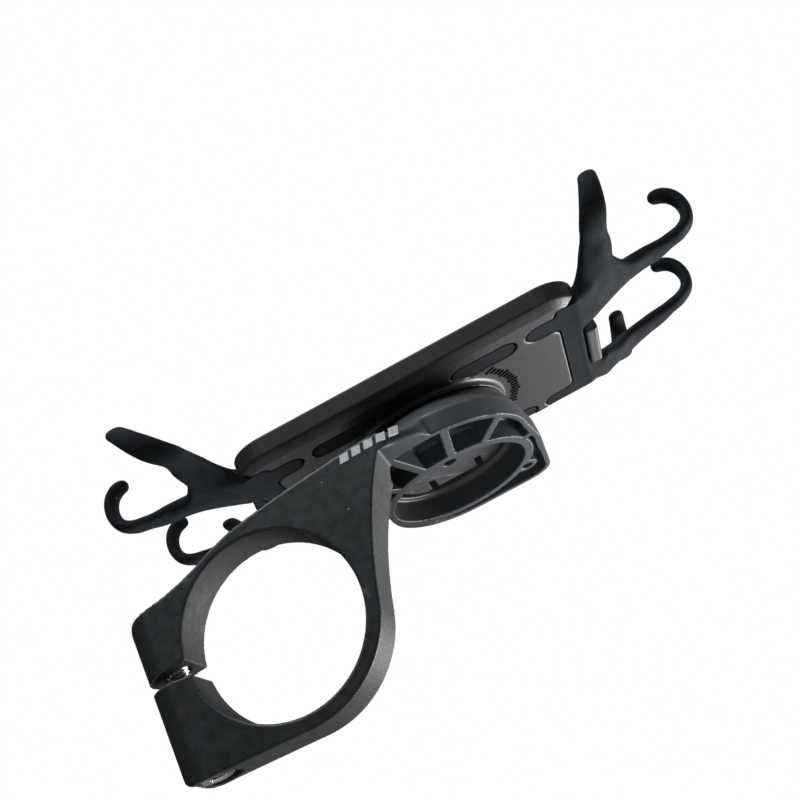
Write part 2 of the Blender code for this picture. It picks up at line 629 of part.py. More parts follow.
def strap(name, side_x, side_y, made_of):
    """Corner strap: one finger over the phone's long side, and one over its end."""
    under = PHONE_BACK_Z - FINGER_THICKNESS / 2 - GAP
    crossing = hook(PHONE_SIDES[side_y])
    rise = crossing[-1][1] - crossing[0][1]
    lean = [SIDE_LEAN[side_x] * ((z - crossing[0][1]) / rise) ** 0.7 for _, z in crossing]
    start = TRUNKS[side_y][0][2] - 0.0050
    out = SIDE_FINGER_X[side_y]
    to_side = [(out, start, under), (out, start + 0.0040, under)]
    to_side += [(out + shift, y, z) for (y, z), shift in zip(crossing, lean)]
    line = END_FINGERS[side_y]
    to_end = [(x, y, under) for x, y in line[:-1]]
    to_end += [(x, across_at(line, x), z) for x, z in hook(PHONE_HALF_LENGTH)]
    side_widths = [FINGER_WIDTH * scale for scale in SIDE_TAPER]
    end_widths = [FINGER_WIDTH * scale for scale in END_TAPER]
    thick = [FINGER_THICKNESS] * len(end_widths)

    def mirrored(points):
        return [(HEAD_X + side_x * x, HEAD_Y + side_y * y, z) for x, y, z in points]

    fork = trunk(name, side_x, side_y)
    combine(fork, [sweep("side", mirrored(to_side), side_widths, thick, (1, 0, 0)),
                   sweep("end", mirrored(to_end), end_widths, thick, (0, 1, 0))], "UNION")
    root = (HEAD_X + side_x * STRAP_ROOT_X, HEAD_Y + side_y * SLOT_Y[side_y], STRAP_BOTTOM_Z)
    return origin_at(finish(fork, made_of, 40), root)


# ---------------------------------------------------------------- small screws

def screw(name, at, top, length, made_of):
    """Cheese-head screw with a hexagon key, pointing down from its head."""
    under = top - SCREW_HEAD_HEIGHT
    made = cylinder(name, at, SCREW_HEAD_RADIUS, under, top, 24)
    combine(made, [cylinder("shank", at, SCREW_RADIUS, top - length, top - 0.0004, 16)], "UNION")
    key = cylinder("key", at, 0.0009, top - 0.0006, top + 0.001, 6)
    return finish(combine(made, [key], "DIFFERENCE"), made_of)


def build():
    clear_scene()
    nylon = material("black_nylon", (0.022, 0.024, 0.026), 0.42)
    shell = material("carrier_plastic", (0.040, 0.036, 0.042), 0.50)
    puck = material("puck_plastic", (0.060, 0.060, 0.064), 0.45)
    silicone = material("silicone", (0.020, 0.023, 0.025), 0.55)
    foam = material("cushion_rubber", (0.028, 0.029, 0.031), 0.80)
    steel = material("bright_steel", (0.62, 0.62, 0.63), 0.28, 1.0)
    zinc = material("dark_zinc", (0.30, 0.30, 0.31), 0.38, 1.0)

    bracket(nylon)
    clamp_bolt(steel)
    clamp_washer(steel)
    clamp_nut(zinc)
    lock_puck(puck)
    back_shell(shell)
    front_panel(shell)
    front_cushion(foam)
    silicone_core(silicone)
    for number, at in enumerate(four_ways(*PANEL_SCREWS), 1):
        screw(f"panel_screw_{number}", at, SHELL_TOP_Z, 0.0045, zinc)
    for number, at in enumerate(four_ways(PUCK_SCREWS, PUCK_SCREWS), 1):
        screw(f"puck_screw_{number}", at, PLATE_BACK_Z + PLATE_THICKNESS, 0.0080, zinc)
    names = {(1, -1): "front_near", (1, 1): "front_far", (-1, -1): "rear_near", (-1, 1): "rear_far"}
    for (side_x, side_y), place_name in names.items():
        strap(f"strap_{place_name}", side_x, side_y, silicone)


build()
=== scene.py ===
"""Looks of a bicycle phone mount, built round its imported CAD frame. Metres, +Z up."""
import json
import math

import bmesh
import bpy
import numpy as np
from mathutils import Matrix, Vector
from mathutils.bvhtree import BVHTree


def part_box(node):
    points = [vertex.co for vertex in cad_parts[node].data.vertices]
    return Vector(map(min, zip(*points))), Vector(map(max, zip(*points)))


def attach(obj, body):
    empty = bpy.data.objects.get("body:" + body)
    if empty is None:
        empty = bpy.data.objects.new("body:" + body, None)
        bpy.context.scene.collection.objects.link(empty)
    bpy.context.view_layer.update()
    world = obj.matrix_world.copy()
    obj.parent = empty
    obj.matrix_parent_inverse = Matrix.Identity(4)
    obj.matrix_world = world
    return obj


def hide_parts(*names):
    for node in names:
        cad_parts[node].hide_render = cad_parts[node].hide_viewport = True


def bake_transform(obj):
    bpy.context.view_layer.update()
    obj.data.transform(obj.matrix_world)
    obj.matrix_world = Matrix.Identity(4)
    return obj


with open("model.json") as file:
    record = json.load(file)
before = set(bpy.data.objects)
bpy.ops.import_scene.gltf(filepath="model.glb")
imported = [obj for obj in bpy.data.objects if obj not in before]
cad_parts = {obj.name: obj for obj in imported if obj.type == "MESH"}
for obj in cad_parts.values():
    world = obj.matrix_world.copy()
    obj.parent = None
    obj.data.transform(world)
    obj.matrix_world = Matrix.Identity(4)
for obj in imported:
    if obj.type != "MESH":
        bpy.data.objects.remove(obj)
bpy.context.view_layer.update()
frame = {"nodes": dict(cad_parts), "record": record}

# ---------------------------------------------------------------- sizes

JOINTS = {joint["name"]: joint for joint in frame["record"]["behaviour"]["joints"]}
HEAD_X, HEAD_Y = JOINTS["carrier_twist"]["pos_m"][:2]
BOLT_X, BOLT_Y = JOINTS["bolt_turn"]["pos_m"][:2]
PLATE_BACK_Z = 0.0354                # outer face of the phone plate
PLATE_BEVEL_Z = 0.0360               # on the bevel, where the plate's shine starts to fall
PLATE_SIDE_Z = 0.0368                # past the bevel, on the plate's side wall
TURNTABLE_RADIUS = 0.0178
FLARE_RADIUS = 0.0013                # hollow fillet between turntable and plate
BORE_RADIUS = 0.0177                 # just past the surface that grips the handlebar

# Grid of each fused skin, and the share of its triangles that is kept.
BRACKET_VOXEL, BRACKET_KEPT = 0.00028, 0.35
SHELL_VOXEL, SHELL_KEPT = 0.00026, 0.35
PUCK_VOXEL, PUCK_KEPT = 0.00018, 0.5
CUSHION_VOXEL, CUSHION_KEPT = 0.00030, 0.6
STRAP_VOXEL = 0.00040
SILICONE_VOXEL, SILICONE_KEPT = 0.00030, 0.45

# Bars printed on the arm, under a line that rises along its upper edge.
BARS = 5
FIRST_BAR_X = 0.0237
BAR_PITCH = 0.0026
BAR_WIDTH = 0.0018
BAR_HEIGHT = 0.0016
BAR_LEAN = 0.0005
BAR_LINE_X, BAR_LINE_Z, BAR_LINE_SLOPE = 0.0230, 0.0227, 0.083
PRINT_RISE, PRINT_DEPTH = 0.00006, 0.00040

# Tick marks beside the turntable: inner and outer radius, and the arc that they fill in degrees.
TICKS = 20
LONG_TICK_EVERY = 4
TICK_ARC = 72
LONG_TICK, SHORT_TICK = (0.0198, 0.0224), (0.0202, 0.0220)
TICK_HALF_WIDTH = 0.00018
TICK_RISE, TICK_DEPTH = 0.00024, 0.00030

# Moulding lines: across the arm, and on the plate's side wall.
KNIT_Z, KNIT_SLOPE, KNIT_START_X = 0.0092, 0.5, 0.0170
KNIT_HALF_WIDTH = 0.00006
WELD_LINES_X = (0.0090, 0.0328, 0.0722)
WELD_HALF_WIDTH = 0.00005

# Corner straps, as distances out from the head's axis. A key of -1 is the near side and 1 the far
# side, except in SIDE_LEAN, where -1 is the rear and 1 the front.
STRAP_ROOT_X = 0.0398
SLOT_Y = {-1: 0.0171, 1: 0.0216}
TRUNK_THICKNESS = 0.0032
FINGER_WIDTH = 0.0054
FINGER_THICKNESS = 0.0026
GAP = 0.0003
PHONE_BACK_Z = 0.0434
PHONE_THICKNESS = 0.0069
PHONE_HALF_LENGTH = 0.0686
PHONE_SIDES = {-1: 0.0379, 1: 0.0352}
SIDE_FINGER_X = {-1: 0.0474, 1: 0.0496}
SIDE_LEAN = {-1: 0.0090, 1: 0.0043}

# Rows of a trunk: distance along, inner and outer edge, and height of the lower face.
TRUNKS = {
    -1: ((0.0378, 0.0070, 0.0219, 0.0356), (0.0398, 0.0070, 0.0219, 0.0356),
         (0.0420, 0.0069, 0.0220, 0.0360), (0.0450, 0.0070, 0.0218, 0.0373),
         (0.0480, 0.0076, 0.0185, 0.0387), (0.0510, 0.0084, 0.0150, 0.0398)),
    1: ((0.0378, 0.0132, 0.0244, 0.0356), (0.0398, 0.0132, 0.0244, 0.0356),
        (0.0420, 0.0150, 0.0268, 0.0360), (0.0450, 0.0182, 0.0288, 0.0373),
        (0.0480, 0.0206, 0.0295, 0.0387), (0.0510, 0.0218, 0.0280, 0.0398)),
}

# Middle line of each finger's start, with the widths and heights of its points. END_LINES then
# carries the end finger on towards its hook.
SIDE_ROOTS = {-1: ((0.0405, 0.0155), (0.0435, 0.0190), (0.0459, 0.0232), (0.0471, 0.0280)),
              1: ((0.0405, 0.0195), (0.0438, 0.0225), (0.0470, 0.0257), (0.0488, 0.0285))}
END_ROOTS = {-1: ((0.0405, 0.0130), (0.0450, 0.0125), (0.0495, 0.0119), (0.0535, 0.0115)),
             1: ((0.0405, 0.0185), (0.0450, 0.0225), (0.0495, 0.0248), (0.0535, 0.0246))}
SIDE_ROOT_WIDTHS = (0.0100, 0.0096, 0.0088, 0.0078)
END_ROOT_WIDTHS = (0.0110, 0.0112, 0.0104, 0.0092)
ROOT_HEIGHTS = (0.0372, 0.0385, 0.0402, 0.0414)
END_LINES = {-1: ((0.0570, 0.0116), (0.0610, 0.0121), (0.0670, 0.0144)),
             1: ((0.0570, 0.0236), (0.0610, 0.0217), (0.0670, 0.0182))}
END_LINE_WIDTHS = (0.0080, 0.0066)

# Outline of the web that rounds off the fork between the two fingers, and its points' heights.
WEBS = {
    -1: ((0.0450, 0.0140), (0.0470, 0.0300), (0.0490, 0.0300), (0.0501, 0.0230),
         (0.0528, 0.0172), (0.0580, 0.0136), (0.0580, 0.0116)),
    1: ((0.0460, 0.0225), (0.0492, 0.0318), (0.0506, 0.0312), (0.0514, 0.0282),
        (0.0534, 0.0262), (0.0568, 0.0250), (0.0568, 0.0238)),
}
WEB_HEIGHTS = (0.0388, 0.0409, 0.0409, 0.0408, 0.0408, 0.0411, 0.0411)
WEB_THICKNESS = 0.0022
FORK_RADIUS = 0.0029
SHEET_INSET = 0.00016                # how far the skin is drawn in where it lies in the plate
TIP_LENGTH = 0.0015
SEAM_Z = 0.0446                      # parting line across each hook

# Light: the direction that most of it comes from, and the strengths elsewhere, there and overhead.
BRIGHT_SIDE = (0.75, 0.60, -0.28)
DIM, BRIGHT, OVERHEAD = 0.03, 0.68, 0.9
FLOOR_SIZE, FLOOR_Z = 2.5, -0.90

# The camera's own axes, its place and its lens.
CAMERA_RIGHT = Vector((0.8788, 0.2291, -0.4186))
CAMERA_UP = Vector((0.4754, -0.3445, 0.8096))
CAMERA_BACK = Vector((0.0413, -0.9104, -0.4117))
CAMERA_PLACE = Vector((0.04807, -0.20057, -0.0612))
LENS_MM, SENSOR_MM = 50.92, 36

EDGE_PALE_LOW, EDGE_PALE_HIGH = 0.53, 0.60     # curvature where an edge starts to turn paler, as wear and painted highlight, and fully does
SOFT_IOR = 1.16                      # keeps the mirror of the tick marks and the silicone weak
REST_PLACE, BENDING = "rest_place", "bending"
STRAPS = {(1, -1): "front_near", (1, 1): "front_far", (-1, -1): "rear_near", (-1, 1): "rear_far"}


# ---------------------------------------------------------------- mesh tools

def new_object(name, mesh):
    obj = bpy.data.objects.new(name, mesh)
    bpy.context.scene.collection.objects.link(obj)
    return obj


def loft(rings):
    """Vertices and faces of a closed solid through rings that all have the same number of points."""
    count = len(rings[0])
    points = [tuple(point) for ring in rings for point in ring]
    faces = [tuple(range(count))[::-1], tuple(range(len(points) - count, len(points)))]
    for i in range(len(rings) - 1):
        for j in range(count):
            k = (j + 1) % count
            faces.append((i * count + j, i * count + k, (i + 1) * count + k, (i + 1) * count + j))
    return points, faces


def solid(name, *parts):
    """One object from several closed solids, each given as its points and faces."""
    points, faces = [], []
    for some_points, some_faces in parts:
        start = len(points)
        points += some_points
        faces += [tuple(start + i for i in face) for face in some_faces]
    mesh = bpy.data.meshes.new(name)
    mesh.from_pydata(points, [], faces)
    mesh.update()
    return new_object(name, mesh)


def node_solid(node):
    return mesh_solid(frame["nodes"][node].data)


def mesh_solid(mesh):
    return [tuple(v.co) for v in mesh.vertices], [tuple(face.vertices) for face in mesh.polygons]


def apply_modifiers(obj):
    graph = bpy.context.evaluated_depsgraph_get()
    mesh = bpy.data.meshes.new_from_object(obj.evaluated_get(graph))
    obj.modifiers.clear()
    obj.data = mesh


def fuse(obj, voxel):
    """Turns overlapping solids into one even skin."""
    modifier = obj.modifiers.new("fuse", "REMESH")
    modifier.mode = "VOXEL"
    modifier.voxel_size = voxel
    apply_modifiers(obj)


def fill_corners(obj, voxel, radius):
    """Fills inward corners to a radius: the solid grows by it, is fused, and shrinks back."""
    fuse(obj, voxel)
    for distance in (radius, -radius):
        modifier = obj.modifiers.new("offset", "DISPLACE")
        modifier.direction = "NORMAL"
        modifier.mid_level = 0.0
        modifier.strength = distance
        fuse(obj, voxel)


def positions(mesh):
    values = np.empty(len(mesh.vertices) * 3)
    mesh.vertices.foreach_get("co", values)
    return values.reshape(-1, 3)


def set_positions(mesh, points):
    mesh.vertices.foreach_set("co", points.ravel())
    mesh.update()


def relax(mesh, factors, weight=1.0):
    """Moves each point towards its neighbours' middle, by each factor in turn."""
    points = positions(mesh)
    count = len(points)
    ends = np.empty(len(mesh.edges) * 2, int)
    mesh.edges.foreach_get("vertices", ends)
    a, b = ends.reshape(-1, 2).T
    degree = np.bincount(np.concatenate((a, b)), minlength=count)[:, None]
    weight = np.broadcast_to(weight, count)[:, None]
    for factor in factors:
        sums = [np.bincount(a, points[b, k], count) + np.bincount(b, points[a, k], count) for k in range(3)]
        points += weight * factor * (np.stack(sums, 1) / degree - points)
    set_positions(mesh, points)


def shrink(mesh, distance, weight):
    """Draws the skin in along its normals."""
    normals = np.empty(len(mesh.vertices) * 3)
    mesh.vertex_normals.foreach_get("vector", normals)
    set_positions(mesh, positions(mesh) - distance * weight[:, None] * normals.reshape(-1, 3))


def round_edges(mesh, steps):
    """Rounds edges without shrinking the solid."""
    relax(mesh, (0.5, -0.52) * steps)


def thin_out(obj, ratio):
    modifier = obj.modifiers.new("thin", "DECIMATE")
    modifier.ratio = ratio
    apply_modifiers(obj)


def smooth_shading(mesh, sharp=50):
    mesh.shade_smooth()
    mesh.set_sharp_from_angle(angle=math.radians(sharp))


def dress(obj, body, material, slot, *replaced):
    """Gives a piece its finish and its body, and hides the CAD nodes that it stands for."""
    obj.data.materials.clear()
    obj.data.materials.append(material)
    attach(obj, body)
    if replaced:
        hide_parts(*replaced)


def fade(values, low, high):
    """0 below low, 1 above high, and smooth between."""
    t = np.clip((values - low) / (high - low), 0, 1)
    return t * t * (3 - 2 * t)


# ---------------------------------------------------------------- materials

def shader(name, colour, roughness, metallic=0.0, specular=0.5):
    material = bpy.data.materials.new(name)
    material.use_nodes = True
    tree = material.node_tree
    principled = tree.nodes["Principled BSDF"]
    principled.inputs["Base Color"].default_value = (*colour, 1.0)
    principled.inputs["Roughness"].default_value = roughness
    principled.inputs["Metallic"].default_value = metallic
    principled.inputs["Specular IOR Level"].default_value = specular
    return material, tree, principled


def node(tree, kind, **settings):
    made = tree.nodes.new(kind)
    for key, value in settings.items():
        if key in made.inputs:
            made.inputs[key].default_value = value
        else:
            setattr(made, key, value)
    return made


def place_of(tree):
    """Where a point is on its piece at rest; a piece that bends keeps it as an attribute."""
    if tree.get(BENDING):
        made = tree.nodes.new("ShaderNodeAttribute")
        made.attribute_name = REST_PLACE
        return made.outputs["Vector"]
    return tree.nodes.new("ShaderNodeTexCoord").outputs["Object"]


def noise(tree, scale, detail=2.0, stretch=None):
    """Even noise from 0 to 1; stretch scales the pattern along each axis."""
    made = node(tree, "ShaderNodeTexNoise", Scale=scale, Detail=detail)
    source = place_of(tree)
    if stretch:
        mapping = node(tree, "ShaderNodeMapping", Scale=stretch)
        tree.links.new(source, mapping.inputs["Vector"])
        source = mapping.outputs["Vector"]
    tree.links.new(source, made.inputs["Vector"])
    return made.outputs["Fac"]


def ranged(tree, value, low, high, to_low, to_high):
    made = tree.nodes.new("ShaderNodeMapRange")
    for key, number in zip(("From Min", "From Max", "To Min", "To Max"), (low, high, to_low, to_high)):
        made.inputs[key].default_value = number
    tree.links.new(value, made.inputs["Value"])
    return made.outputs["Result"]


def calculate(tree, operation, first, second=0.0):
    made = tree.nodes.new("ShaderNodeMath")
    made.operation = operation
    for socket, value in zip(made.inputs, (first, second)):
        if isinstance(value, (int, float)):
            socket.default_value = value
        else:
            tree.links.new(value, socket)
    return made.outputs["Value"]


def blend_colour(tree, factor, first, second):
    """Colour between two, either of them a tuple or a socket."""
    made = tree.nodes.new("ShaderNodeMix")
    made.data_type = "RGBA"
    tree.links.new(factor, made.inputs["Factor"])
    for name, value in (("A", first), ("B", second)):
        socket = next(s for s in made.inputs if s.name == name and s.type == "RGBA")
        if isinstance(value, tuple):
            socket.default_value = (*value, 1.0)
        else:
            tree.links.new(value, socket)
    return next(s for s in made.outputs if s.type == "RGBA")


def ranged_colour(tree, value, low, high, first, second):
    """The first colour where a value is low, the second where it is high, and mixed between."""
    return blend_colour(tree, ranged(tree, value, low, high, 0, 1), first, second)


def uneven_roughness(tree, principled, scale, low, high):
    """Roughness that drifts between two values over the surface."""
    drift = ranged(tree, noise(tree, scale, 3), 0.3, 0.7, low, high)
    tree.links.new(drift, principled.inputs["Roughness"])


def relief(tree, principled, *layers):
    """Bump from heights of 0 to 1, each with its depth in metres."""
    below = None
    for height, depth in layers:
        made = node(tree, "ShaderNodeBump", Strength=1.0, Distance=depth)
        tree.links.new(height, made.inputs["Height"])
        if below:
            tree.links.new(below, made.inputs["Normal"])
        below = made.outputs["Normal"]
    tree.links.new(below, principled.inputs["Normal"])


def specks(tree, scale, size, share):
    """Small dust specks: 1 on a speck, in patches that cover about a share of the surface."""
    cells = node(tree, "ShaderNodeTexVoronoi", Scale=scale)
    tree.links.new(place_of(tree), cells.inputs["Vector"])
    near = calculate(tree, "LESS_THAN", cells.outputs["Distance"], size)
    separate = tree.nodes.new("ShaderNodeSeparateColor")
    tree.links.new(cells.outputs["Color"], separate.inputs["Color"])
    chosen = calculate(tree, "LESS_THAN", separate.outputs["Red"], share)
    return calculate(tree, "MULTIPLY", near, chosen)


def edge_wear_and_highlight(tree):
    """1 along outer edges, from the mesh's own curvature: the pale edge that is partly wear and partly
    painted highlight.
    """
    geometry = tree.nodes.new("ShaderNodeNewGeometry")
    return ranged(tree, geometry.outputs["Pointiness"], EDGE_PALE_LOW, EDGE_PALE_HIGH, 0.0, 1.0)


def line_at(tree, value, middle, half):
    """1 within half of a middle value and 0 outside it."""
    distance = calculate(tree, "ABSOLUTE", calculate(tree, "SUBTRACT", value, middle))
    return calculate(tree, "LESS_THAN", distance, half)


def split_place(tree):
    made = tree.nodes.new("ShaderNodeSeparateXYZ")
    tree.links.new(place_of(tree), made.inputs["Vector"])
    return made.outputs


def black_nylon():
    """Glass-filled nylon with a satin spark-eroded skin, paler along its edges as wear and painted highlight,
    and paler on the head as painted highlight.
    """
    material, tree, principled = shader("black_nylon", (0.014, 0.016, 0.018), 0.42, specular=0.44)
    cloudy = noise(tree, 140, 4)
    colour = ranged_colour(tree, cloudy, 0.35, 0.65, (0.0115, 0.0130, 0.0145), (0.0170, 0.0195, 0.0215))
    x, _, z = split_place(tree)
    # Painted highlight: the colour turns paler towards the head's wall, standing in for the light that falls
    # on it.
    colour = ranged_colour(tree, x, 0.028, 0.042, colour, (0.054, 0.061, 0.066))
    # Paler outer edges: partly wear, partly a painted edge highlight.
    colour = blend_colour(tree, edge_wear_and_highlight(tree), colour, (0.060, 0.064, 0.068))
    colour = blend_colour(tree, specks(tree, 420, 0.07, 0.045), colour, (0.22, 0.22, 0.22))
    tree.links.new(colour, principled.inputs["Base Color"])
    from_axis = calculate(tree, "ADD", calculate(tree, "MULTIPLY", x, x), calculate(tree, "MULTIPLY", z, z))
    scuffed = calculate(tree, "MULTIPLY", calculate(tree, "LESS_THAN", from_axis, BORE_RADIUS ** 2), 0.28)
    roughness = calculate(tree, "ADD", ranged(tree, noise(tree, 500, 3), 0.3, 0.7, 0.36, 0.50), scuffed)
    tree.links.new(roughness, principled.inputs["Roughness"])
    sloping = calculate(tree, "ADD", z, calculate(tree, "MULTIPLY", x, KNIT_SLOPE))
    on_arm = calculate(tree, "GREATER_THAN", x, KNIT_START_X)
    knit = calculate(tree, "MULTIPLY", line_at(tree, sloping, KNIT_Z, KNIT_HALF_WIDTH), on_arm)
    relief(tree, principled, (noise(tree, 3600, 2), 0.000020), (noise(tree, 260, 2), 0.00003),
           (calculate(tree, "SUBTRACT", 1.0, knit), 0.00004))
    return material


def carrier_plastic():
    """Fine matte plastic of the phone plate, a little warmer than the nylon, with faint weld lines."""
    material, tree, principled = shader("carrier_plastic", (0.024, 0.0225, 0.025), 0.38, specular=0.62)
    grain = noise(tree, 5200, 2)
    colour = ranged_colour(tree, grain, 0.3, 0.7, (0.0215, 0.0200, 0.0225), (0.0285, 0.0265, 0.0295))
    x, _, z = split_place(tree)
    side = calculate(tree, "GREATER_THAN", z, PLATE_SIDE_Z)
    lines = 0.0
    for weld_x in WELD_LINES_X:
        lines = calculate(tree, "ADD", line_at(tree, x, weld_x, WELD_HALF_WIDTH), lines)
    colour = blend_colour(tree, calculate(tree, "MULTIPLY", lines, side), colour, (0.060, 0.060, 0.066))
    # Paler outer edges and groove rims: partly wear, partly a painted edge highlight.
    colour = blend_colour(tree, edge_wear_and_highlight(tree), colour, (0.034, 0.033, 0.037))
    colour = blend_colour(tree, specks(tree, 380, 0.06, 0.05), colour, (0.25, 0.25, 0.25))
    tree.links.new(colour, principled.inputs["Base Color"])
    uneven_roughness(tree, principled, 700, 0.34, 0.42)
    shine = ranged(tree, z, PLATE_BEVEL_Z, PLATE_SIDE_Z, 0.62, 0.22)
    tree.links.new(shine, principled.inputs["Specular IOR Level"])
    relief(tree, principled, (grain, 0.000022))
    return material


def mark_plastic():
    """The moulded tick marks: a rougher skin than the plate, and a darker colour that is painted shade,
    standing in for the shadow in their relief.
    """
    material, tree, principled = shader("mark_plastic", (0.010, 0.010, 0.011), 0.85, specular=0.20)
    principled.inputs["IOR"].default_value = SOFT_IOR
    grain = noise(tree, 2200, 3)
    # Painted shade: the marks' dark colour stands in for the shadow in their relief.
    colour = ranged_colour(tree, grain, 0.4, 0.6, (0.009, 0.009, 0.010), (0.022, 0.022, 0.024))
    tree.links.new(colour, principled.inputs["Base Color"])
    uneven_roughness(tree, principled, 1500, 0.70, 0.95)
    relief(tree, principled, (noise(tree, 5200, 2), 0.000040))
    return material


def puck_plastic():
    material, tree, principled = shader("puck_plastic", (0.05, 0.05, 0.054), 0.45)
    grain = noise(tree, 900, 4)
    colour = ranged_colour(tree, grain, 0.3, 0.7, (0.042, 0.042, 0.046), (0.060, 0.060, 0.064))
    # Paler outer edges: partly wear, partly a painted edge highlight.
    colour = blend_colour(tree, edge_wear_and_highlight(tree), colour, (0.12, 0.12, 0.13))
    tree.links.new(colour, principled.inputs["Base Color"])
    uneven_roughness(tree, principled, 500, 0.38, 0.52)
    relief(tree, principled, (noise(tree, 4200, 2), 0.000022))
    return material


def silicone():
    """Soft matte silicone rubber with a little dust on it."""
    material, tree, principled = shader("silicone", (0.012, 0.014, 0.016), 0.62, specular=0.30)
    tree[BENDING] = True
    principled.inputs["IOR"].default_value = SOFT_IOR
    principled.inputs["Sheen Weight"].default_value = 0.04
    principled.inputs["Sheen Roughness"].default_value = 0.45
    principled.inputs["Sheen Tint"].default_value = (0.80, 0.92, 1.0, 1.0)
    cloudy = noise(tree, 180, 4)
    colour = ranged_colour(tree, cloudy, 0.35, 0.65, (0.0095, 0.0115, 0.0130), (0.0140, 0.0165, 0.0185))
    colour = blend_colour(tree, specks(tree, 330, 0.055, 0.07), colour, (0.33, 0.34, 0.35))
    colour = blend_colour(tree, specks(tree, 900, 0.06, 0.04), colour, (0.20, 0.21, 0.22))
    uneven_roughness(tree, principled, 420, 0.56, 0.68)
    z = split_place(tree)["Z"]
    uneven = calculate(tree, "MULTIPLY", noise(tree, 200, 1), 0.0008)
    seam = line_at(tree, calculate(tree, "ADD", z, uneven), SEAM_Z, 0.00010)
    colour = blend_colour(tree, seam, colour, (0.003, 0.003, 0.003))
    tree.links.new(colour, principled.inputs["Base Color"])
    relief(tree, principled, (noise(tree, 3000, 2), 0.000016), (noise(tree, 420, 2), 0.000030),
           (calculate(tree, "SUBTRACT", 1.0, seam), 0.00010))
    return material


def cushion_rubber():
    material, tree, principled = shader("cushion_rubber", (0.028, 0.029, 0.031), 0.80)
    grain = noise(tree, 1500, 5)
    colour = ranged_colour(tree, grain, 0.3, 0.7, (0.020, 0.021, 0.023), (0.040, 0.041, 0.044))
    colour = blend_colour(tree, specks(tree, 330, 0.05, 0.05), colour, (0.25, 0.25, 0.25))
    tree.links.new(colour, principled.inputs["Base Color"])
    uneven_roughness(tree, principled, 600, 0.72, 0.88)
    relief(tree, principled, (noise(tree, 6000, 3), 0.00005))
    return material


def plated_steel(name, colour, roughness):
    """Plated steel with fine turning marks round the upright axis and a little grime."""
    material, tree, principled = shader(name, colour, roughness, metallic=1.0)
    grime = ranged(tree, noise(tree, 700, 5), 0.52, 0.70, 0, 1)
    darker = tuple(c * 0.45 for c in colour)
    tree.links.new(blend_colour(tree, grime, colour, darker), principled.inputs["Base Color"])
    marks = noise(tree, 900, 3, (0.15, 0.15, 6.0))
    turned_marks = ranged(tree, marks, 0.3, 0.7, roughness - 0.08, roughness + 0.12)
    tree.links.new(turned_marks, principled.inputs["Roughness"])
    relief(tree, principled, (marks, 0.000012))
    return material


def pale_print():
    """Printed white paint, thin enough for the grain under it to show."""
    material, tree, principled = shader("pale_print", (0.62, 0.63, 0.64), 0.55)
    worn = ranged(tree, noise(tree, 1600, 5), 0.62, 0.72, 0, 1)
    colour = blend_colour(tree, worn, (0.62, 0.63, 0.64), (0.22, 0.23, 0.24))
    tree.links.new(colour, principled.inputs["Base Color"])
    uneven_roughness(tree, principled, 900, 0.48, 0.64)
    relief(tree, principled, (noise(tree, 3600, 2), 0.00002))
    return material


def floor_paper():
    material, tree, principled = shader("floor_paper", (0.82, 0.82, 0.82), 0.90)
    tree.links.new(blend_colour(tree, noise(tree, 30, 4), (0.80, 0.80, 0.80), (0.84, 0.84, 0.84)),
                   principled.inputs["Base Color"])
    return material


# ---------------------------------------------------------------- clamp

def bracket_skin(material):
    """Clamp ring, arm and head as one moulding with rounded edges."""
    skin = solid("bracket_skin", node_solid("clamp_bracket"))
    fuse(skin, BRACKET_VOXEL)
    round_edges(skin.data, 5)
    x, y, z = positions(skin.data).T
    meeting = fade(x, 0.0320, 0.0350) * fade(-x, -0.0480, -0.0430)     # where the arm runs into the head
    meeting = meeting * fade(-y, -0.0005, 0.0015) * fade(z, 0.0198, 0.0212)
    relax(skin.data, (0.5,) * 300, meeting)
    wall = fade(x, 0.0300, 0.0340) * fade(z, 0.0238, 0.0250) * fade(-z, -0.0330, -0.0318)   # head's own wall
    relax(skin.data, (0.5,) * 16, wall)
    thin_out(skin, BRACKET_KEPT)
    smooth_shading(skin.data, 60)
    dress(skin, "bracket", material, "black_nylon", "clamp_bracket")


def slanted_bars(material):
    """Plain printed bars that follow the arm's near face along its upper edge."""
    arm = BVHTree.FromPolygons(*node_solid("clamp_bracket"))
    parts = []
    in_front_y = -0.05
    for number in range(BARS):
        left = FIRST_BAR_X + number * BAR_PITCH
        right = left + BAR_WIDTH
        top = BAR_LINE_Z + BAR_LINE_SLOPE * (left - BAR_LINE_X)
        low = top - BAR_HEIGHT
        outline = []
        for x, z in ((left, low), (right, low), (right + BAR_LEAN, top), (left + BAR_LEAN, top)):
            outline.append(arm.ray_cast(Vector((x, in_front_y, z)), Vector((0, 1, 0)))[0])
        layers = [[point + Vector((0, y, 0)) for point in outline] for y in (-PRINT_RISE, PRINT_DEPTH)]
        parts.append(loft(layers))
    bars = solid("arm_bars", *parts)
    dress(bars, "bracket", material, "black_nylon")


def hexagon(across, angle):
    """Radius of a hexagon at an angle."""
    turn = (angle + math.pi / 6) % (math.pi / 3) - math.pi / 6
    return across / 2 / math.cos(turn)


